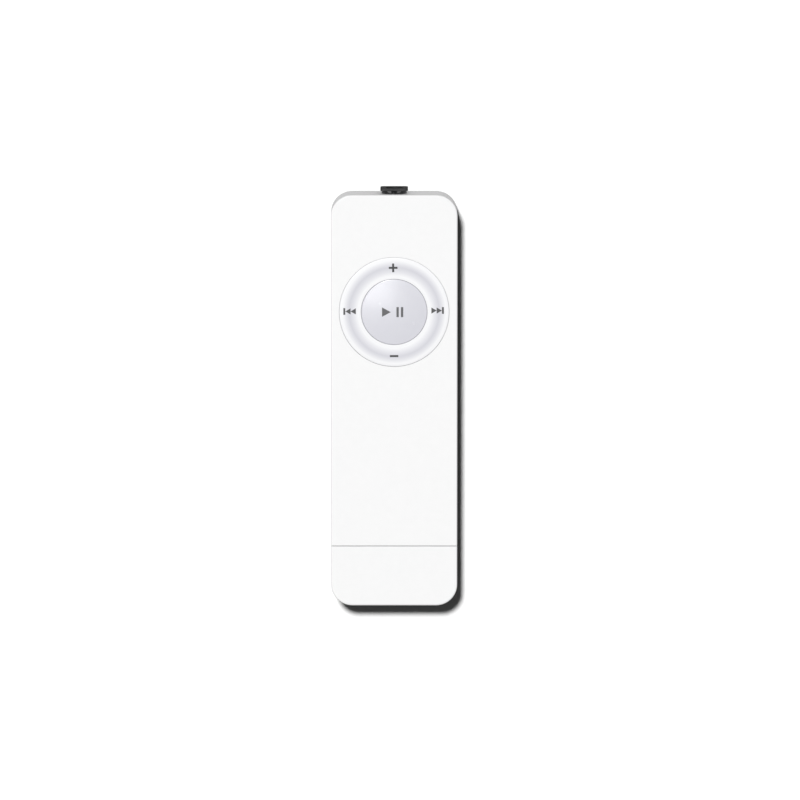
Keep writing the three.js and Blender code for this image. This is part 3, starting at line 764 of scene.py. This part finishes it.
def plus(x, y, size, stroke):
    """A plus sign: one arm's three corners, and the same again at each quarter turn."""
    reach, half = size / 2, stroke / 2
    corners = [(-half, -reach), (half, -reach), (half, -half)]
    for _ in range(3):
        corners += [(-v, u) for u, v in corners[-3:]]
    return [(x + u, y + v) for u, v in corners]


def arrow(x, y, width, height):
    """A triangle whose tip is width to the right of its back, or to the left where width is negative."""
    points = [(x - width / 2, y - height / 2), (x + width / 2, y), (x - width / 2, y + height / 2)]
    return points if width > 0 else points[::-1]


MARK_RADIUS = 8.8
PLUS_SIZE, PLUS_STROKE = 1.72, 0.41
MINUS_SIZE, MINUS_STROKE = 1.68, 0.4


def skip_mark(way):
    """Two arrows and a bar, pointing left (-1) or right (1)."""
    middle = way * (MARK_RADIUS - 0.1)
    long, tall = 1.04, 1.22
    arrows = [arrow(middle + way * shift, SKIP_UP, way * long, tall) for shift in (-0.715, 0.32)]
    return arrows + [bar(middle + way * long, SKIP_UP, 0.38, tall + 0.12)]


def play_pause_mark():
    """An arrow and two bars."""
    bars = [bar(x, 0, 0.46, 2.0) for x in (0.68, 1.56)]
    return [arrow(-1.53, 0, 1.75, 1.88)] + bars


def pad_marks():
    """The five printed marks: four round the ring, one on the button."""
    ring_marks = {
        "mark_plus": ([plus(0, MARK_RADIUS, PLUS_SIZE, PLUS_STROKE)], PRINT_DARK),
        "mark_minus": ([bar(0, -MARK_RADIUS + 0.04, MINUS_SIZE, MINUS_STROKE)], PRINT_DARK),
        "mark_previous": (skip_mark(-1), PRINT_MIDDLE),
        "mark_next": (skip_mark(1), PRINT_MIDDLE),
    }
    for name, (outlines, material) in ring_marks.items():
        mark = printed(name, outlines, ring_height, RING_TURN, RING_SHIFT)
        place(mark, "ring", material, "ring_white")
    mark = printed("mark_play_pause", play_pause_mark(), button_height)
    place(mark, "play", PRINT, "button_lilac")


place(control_ring(), "ring", RING, "ring_white", "control_ring")
place(play_button(), "play", BUTTON, "button_lilac", "play_button")
pad_marks()


# ------------------------------------------------------------------ headphone jack


COLLAR_FLANGE = 2.95
FLANGE_DEPTH = 0.15
LIP_HALF = 2.73
LIP_CORNER = 0.6
LIP_DEPTH = 0.45
BORE_BEVEL = 0.06
COLLAR_ARC = 24  # points in a quarter turn


def collar_circle(radius, y):
    """A circle with as many points as the lip's outline: its straight stretches are next to nothing."""
    return bar_loop(radius, radius, radius - 0.002, y, COLLAR_ARC)


def collar_square(inset, y):
    """The lip's outline, drawn in by inset."""
    return bar_loop(LIP_HALF - inset, LIP_HALF - inset, LIP_CORNER - inset, y, COLLAR_ARC)


def jack_rim():
    """The collar: a round waist that the casing holds, and a squared lip in front of it."""
    tip, back = collar_high.y, collar_low.y
    lip_back, flange_front = tip - LIP_DEPTH, back + FLANGE_DEPTH
    loops = [
        collar_circle(BORE, back),
        collar_circle(BORE, tip - BORE_BEVEL),
        collar_circle(BORE + 2 * BORE_BEVEL, tip),
        collar_square(0.1, tip),
        collar_square(0.03, tip - 0.03),
        collar_square(0, tip - 0.1),
        collar_square(0, lip_back + 0.05),
        collar_square(0.05, lip_back),
        collar_circle(COLLAR_WAIST, lip_back - 0.01),
        collar_circle(COLLAR_WAIST, flange_front),
        collar_circle(COLLAR_FLANGE, flange_front),
        collar_circle(COLLAR_FLANGE, back),
    ]
    return loft("jack_rim", loops, ring=True)


jack_rim_piece = place(jack_rim(), "housing", COLLAR, "collar_black", "jack_collar")


# ------------------------------------------------------------------ USB plug


PLUG_TIP = plug_low.y
PLUG_BACK = plug_high.y
PLUG_HALF_X = plug_high.x
PLUG_HALF_Z = (plug_high.z - plug_low.z) / 2
PLUG_WALL = 0.3
LATCH_X = 3.3  # from the plug's middle to a latch window's
LATCH_HALF_X = 1.1
LATCH_NEAR, LATCH_FAR = 4.2, 6.4  # from the tip to a window's two ends


def plug_section(inset, corner, y):
    """The plug's outline, drawn in by inset."""
    return bar_loop(PLUG_HALF_X - inset, PLUG_HALF_Z - inset, corner, y)


def latch_window(side, face):
    """A cutter for a latch window: side is -1 or 1 across the plug, and face -1 below or 1 above."""
    x, z, half_z = side * LATCH_X, MIDDLE + face * (PLUG_HALF_Z + 0.35), 0.8
    low = (x - LATCH_HALF_X, PLUG_TIP + LATCH_NEAR, z - half_z)
    return block("window", low, (x + LATCH_HALF_X, PLUG_TIP + LATCH_FAR, z + half_z))


def plug_shell():
    """The plug's folded steel shell, with its two pairs of latch windows and the seam underneath."""
    loops = [
        plug_section(0.08, 0.55, PLUG_TIP),
        plug_section(0.02, 0.6, PLUG_TIP + 0.05),
        plug_section(0, 0.6, PLUG_TIP + 0.14),
        plug_section(0, 0.6, PLUG_BACK),
        plug_section(PLUG_WALL, 0.32, PLUG_BACK),
        plug_section(PLUG_WALL, 0.32, PLUG_TIP + 0.2),
        plug_section(PLUG_WALL - 0.08, 0.4, PLUG_TIP + 0.04),
    ]
    shell = loft("plug_shell", loops, ring=True)
    windows = [latch_window(side, face) for side in (-1, 1) for face in (-1, 1)]
    seam_half = 0.04
    seam_top = MIDDLE - PLUG_HALF_Z + PLUG_WALL / 2
    seam = block("seam", (-seam_half, PLUG_TIP - 1, 0), (seam_half, PLUG_BACK + 1, seam_top))
    return soften(carve(shell, seam, *windows), 0.03)


place(plug_shell(), "housing", STEEL, "steel", "usb_shell")


# ------------------------------------------------------------------ controls on the back


KNOB_Y = (knob_high.y + knob_low.y) / 2
KNOB_UNDER = 0.6
GROOVE_PITCH = 0.62
GROOVE_HALF_X, GROOVE_HALF_Y, GROOVE_DEPTH = 1.35, 0.2, 0.16


def groove(y):
    """A cutter for a V-shaped finger groove across the knob."""
    outside, bottom = knob_low.z - 0.05, knob_low.z + GROOVE_DEPTH
    section = [(y - GROOVE_HALF_Y, outside), (y, bottom), (y + GROOVE_HALF_Y, outside)]
    return loft("groove", [[(x, *point) for point in section] for x in (-GROOVE_HALF_X, GROOVE_HALF_X)])


def switch_knob():
    """The power knob's cap, round-ended and grooved for a fingertip."""
    low, half_y = knob_low.z, (knob_high.y - knob_low.y) / 2
    steps = [(low, 0.2), (low + 0.03, 0.1), (low + 0.1, 0.03), (low + 0.2, 0), (KNOB_UNDER, 0)]
    knob = stadium("power_slider", KNOB_Y, knob_high.x, half_y, steps)
    grooves = [groove(KNOB_Y + GROOVE_PITCH * k) for k in (-2, -1, 0, 1, 2)]
    return soften(carve(knob, *grooves), 0.025)


def knob_stem():
    """The stem that reaches from the knob through the slot to the switch."""
    half_x, half_y = 0.65, 0.6
    low = (-half_x, KNOB_Y - half_y, KNOB_UNDER - 0.02)
    return block("power_stem", low, (half_x, KNOB_Y + half_y, knob_high.z))


def battery_key():
    """The round check button, dished for a fingertip."""
    face, radius, edge = key_low.z, 2.0, 0.15
    dish_radius, dish_depth = 1.7, 0.14
    stem, flange, flange_low, flange_high = 0.7, 2.5, 1.1, 1.35
    rings = (0, 0.5, 0.9, 1.2, 1.45, 1.6, dish_radius)
    dish = [(r, face + dish_depth * (1 - (r / dish_radius) ** 2)) for r in rings]
    rim = [(r, face + edge - h) for r, h in arc_points((radius - edge, 0), edge, 90, 0)]
    profile = dish + rim + [(radius, flange_low), (flange, flange_low), (flange, flange_high)]
    profile += [(stem, flange_high), (stem, key_high.z), (0, key_high.z)]
    return turned("battery_key", profile, (0, KEY_Y, 0), 96)


def light_lens():
    """The battery light's pipe: a low dome outside, and a flange that the back holds."""
    low, radius, dome = pipe_low.z, 0.7, 0.12
    flange, flange_low, flange_high = 1.2, 1.05, 1.4
    turns = (0.5, 0.9, 1.3, math.pi / 2)
    profile = [(0, low)] + [(radius * math.sin(a), low + dome * (1 - math.cos(a))) for a in turns]
    profile += [(radius, flange_low), (flange, flange_low), (flange, flange_high), (radius, flange_high)]
    profile += [(radius, pipe_high.z), (0, pipe_high.z)]
    return turned("light_lens", profile, (0, PIPE_Y, 0), 48)


place(switch_knob(), "power_knob", CASING, "casing_white", "switch_knob")
place(knob_stem(), "power_knob", CASING, "casing_white")
place(battery_key(), "battery_check", LINER, "liner_grey", "battery_button")
place(light_lens(), "housing", CLEAR, "clear_plastic", "battery_light_pipe")


# ------------------------------------------------------------------ finishes for the CAD pieces that stay

BY_SLOT = {
    "casing_white": CASING,
    "ring_white": RING,
    "button_lilac": BUTTON,
    "liner_grey": LINER,
    "collar_black": COLLAR,
    "dark_plastic": DARK,
    "clear_plastic": CLEAR,
    "strip_green": GREEN,
    "rubber_grey": RUBBER,
    "circuit_board": BOARD,
    "chip_black": CHIP,
    "ceramic_tan": CERAMIC,
    "ferrite": FERRITE,
    "steel": STEEL,
    "gold": GOLD,
    "battery_pouch": POUCH,
    "wire_red": RED_WIRE,
    "wire_black": BLACK_WIRE,
}


def finish_cad_nodes():
    """Gives each CAD node the material of its slot in the record."""
    for entry in frame["record"]["subparts"]:
        node = frame["nodes"][entry["node"]]
        node.data.materials.clear()
        node.data.materials.append(BY_SLOT[entry["material_slot"]])


finish_cad_nodes()


# ------------------------------------------------------------------ floor, lights and camera

FLOOR_SIDE = 12.0  # the stage's lengths are in metres
FILL = 0.28  # the even light from all round
KEY = 2.0  # the sun on the player
FLOOR_KEY = 41.7  # the sun on the floor, which is darker than it looks: see floor()
KEY_SPREAD = 8.4  # how wide the suns are, in degrees, for a soft shadow
SHADOW_RIGHT, SHADOW_DOWN = 0.155, 0.395  # how far the suns lean, for each metre that they fall
BUTTON_BOX = (-0.088, -0.002, 1.0)  # where the soft box is that the crowned button mirrors
STRIP_REACH, STRIP_LENGTH = 0.6, 0.5

LENS, SENSOR = 300.0, 36.0  # in millimetres
VIEW_WIDTH = 158.3 * MM  # what the view takes in at the player's face
TILT = math.radians(7.8)  # towards the jack end
AIM = Vector((1.15 * MM, -0.305 * MM, FACE * MM))


def floor():
    """A floor that looks white under its own strong sun, and that gives other surfaces little light.

    Its shadows are then as dark as the fill leaves them."""
    half = FLOOR_SIDE / 2
    corners = [(-half, -half), (half, -half), (half, half), (-half, half)]
    mesh = bmesh.new()
    mesh.faces.new([mesh.verts.new((x, y, 0)) for x, y in corners])
    ground = as_object("floor", mesh)
    finish = Finish("floor_pale", 0.9)
    unseen, dark, light = (0.042, 0.042, 0.042), (0.08, 0.08, 0.08), (0.081, 0.081, 0.081)
    seen = finish.mix(finish.noise(400), dark, light)
    rays = finish.nodes.new("ShaderNodeLightPath")
    finish.colour(finish.mix(rays.outputs["Is Camera Ray"], unseen, seen))
    finish.set("Specular IOR Level", 0.0)
    ground.data.materials.append(finish.material)
    return ground


def world():
    """Pale all round to the eye, and a weak even fill to everything else."""
    sky = bpy.data.worlds.new("studio")
    sky.use_nodes = True
    bpy.context.scene.world = sky
    nodes, links = sky.node_tree.nodes, sky.node_tree.links
    seen = nodes.new("ShaderNodeBackground")
    seen.inputs["Color"].default_value = (1, 1, 1, 1)
    seen.inputs["Strength"].default_value = 1.0
    fill = nodes["Background"]
    fill.inputs["Color"].default_value = (1, 1, 1, 1)
    fill.inputs["Strength"].default_value = FILL
    mix = nodes.new("ShaderNodeMixShader")
    links.new(nodes.new("ShaderNodeLightPath").outputs["Is Camera Ray"], mix.inputs["Fac"])
    links.new(fill.outputs["Background"], mix.inputs[1])
    links.new(seen.outputs["Background"], mix.inputs[2])
    links.new(mix.outputs["Shader"], nodes["World Output"].inputs["Surface"])


def towards(lamp, direction):
    """Points a lamp along a direction."""
    lamp.rotation_euler = Vector(direction).to_track_quat("-Z", "Y").to_euler()


def all_but(obj):
    """A light-linking collection that means everything except obj."""
    spared = bpy.data.collections.new("all_but_" + obj.name)
    spared.objects.link(obj)
    spared.collection_objects[0].light_linking.link_state = "EXCLUDE"
    return spared


def just(obj):
    """A light-linking collection that means obj alone."""
    lit = bpy.data.collections.new("just_" + obj.name)
    lit.objects.link(obj)
    return lit


def lamp_object(data):
    """A lamp in the scene, made from its data."""
    lamp = bpy.data.objects.new(data.name, data)
    bpy.context.scene.collection.objects.link(lamp)
    return lamp


def sun(name, strength, blockers, lit=None):
    """A soft sun from the upper left, close to overhead, whose shadows only the blockers cast.

    It lights everything, or only what lit says."""
    data = bpy.data.lights.new(name, "SUN")
    data.energy = strength
    data.angle = math.radians(KEY_SPREAD)
    lamp = lamp_object(data)
    towards(lamp, (SHADOW_RIGHT, -SHADOW_DOWN, -1))
    lamp.light_linking.blocker_collection = blockers
    if lit:
        lamp.light_linking.receiver_collection = lit


def soft_box(name, way, reach, size, radiance, lit):
    """A soft box that faces the player from reach metres away along way, unseen by the camera.

    It lights only what lit says. Its size is (across, along the player) where it leans along X."""
    across, along = size
    data = bpy.data.lights.new(name, "AREA")
    data.shape = "RECTANGLE"
    data.size, data.size_y = along, across  # a lamp that leans along X has its own X along the player
    data.energy = radiance * math.pi * across * along
    lamp = lamp_object(data)
    lamp.visible_camera = False
    lamp.location = way * reach
    towards(lamp, -way)
    lamp.light_linking.receiver_collection = lit


def strip_box(name, lean, width, radiance, lit):
    """A long soft box beside the player, which leans from overhead towards +X by lean degrees."""
    way = Vector((math.sin(math.radians(lean)), 0, math.cos(math.radians(lean))))
    soft_box(name, way, STRIP_REACH, (width, STRIP_LENGTH), radiance, lit)


def camera():
    """A long lens over the player, leaning towards the jack end."""
    reach = VIEW_WIDTH * LENS / SENSOR
    data = bpy.data.cameras.new("camera")
    data.lens, data.sensor_width = LENS, SENSOR
    data.clip_start, data.clip_end = 0.05, 50
    eye = bpy.data.objects.new("camera", data)
    bpy.context.scene.collection.objects.link(eye)
    eye.location = AIM + Vector((0, math.sin(TILT), math.cos(TILT))) * reach
    eye.rotation_euler = (-TILT, 0, 0)
    bpy.context.scene.camera = eye


def lights(ground):
    """Two suns, for the player and for the floor, and the soft boxes that the glossy pieces mirror.

    The suns cast no shadow of the small jack collar. It has two strips of its own, for its highlights."""
    all_but_collar, collar = all_but(jack_rim_piece), just(jack_rim_piece)
    sun("key", KEY, all_but_collar)
    sun("floor_key", FLOOR_KEY, all_but_collar, just(ground))
    strip_box("strip_left", lean=-42, width=0.09, radiance=2.8, lit=all_but_collar)
    strip_box("strip_right", lean=48, width=0.09, radiance=2.3, lit=all_but_collar)
    strip_box("collar_left", lean=-46, width=0.42, radiance=2.7, lit=collar)
    strip_box("collar_right", lean=46, width=0.42, radiance=2.1, lit=collar)
    overhead = Vector(BUTTON_BOX).normalized()
    soft_box("soft_box", overhead, reach=1.0, size=(0.16, 0.16), radiance=11.0, lit=all_but_collar)


ground = floor()
world()
lights(ground)
camera()
bpy.context.scene.view_settings.view_transform = "Standard"
bpy.context.scene.view_settings.look = "None"
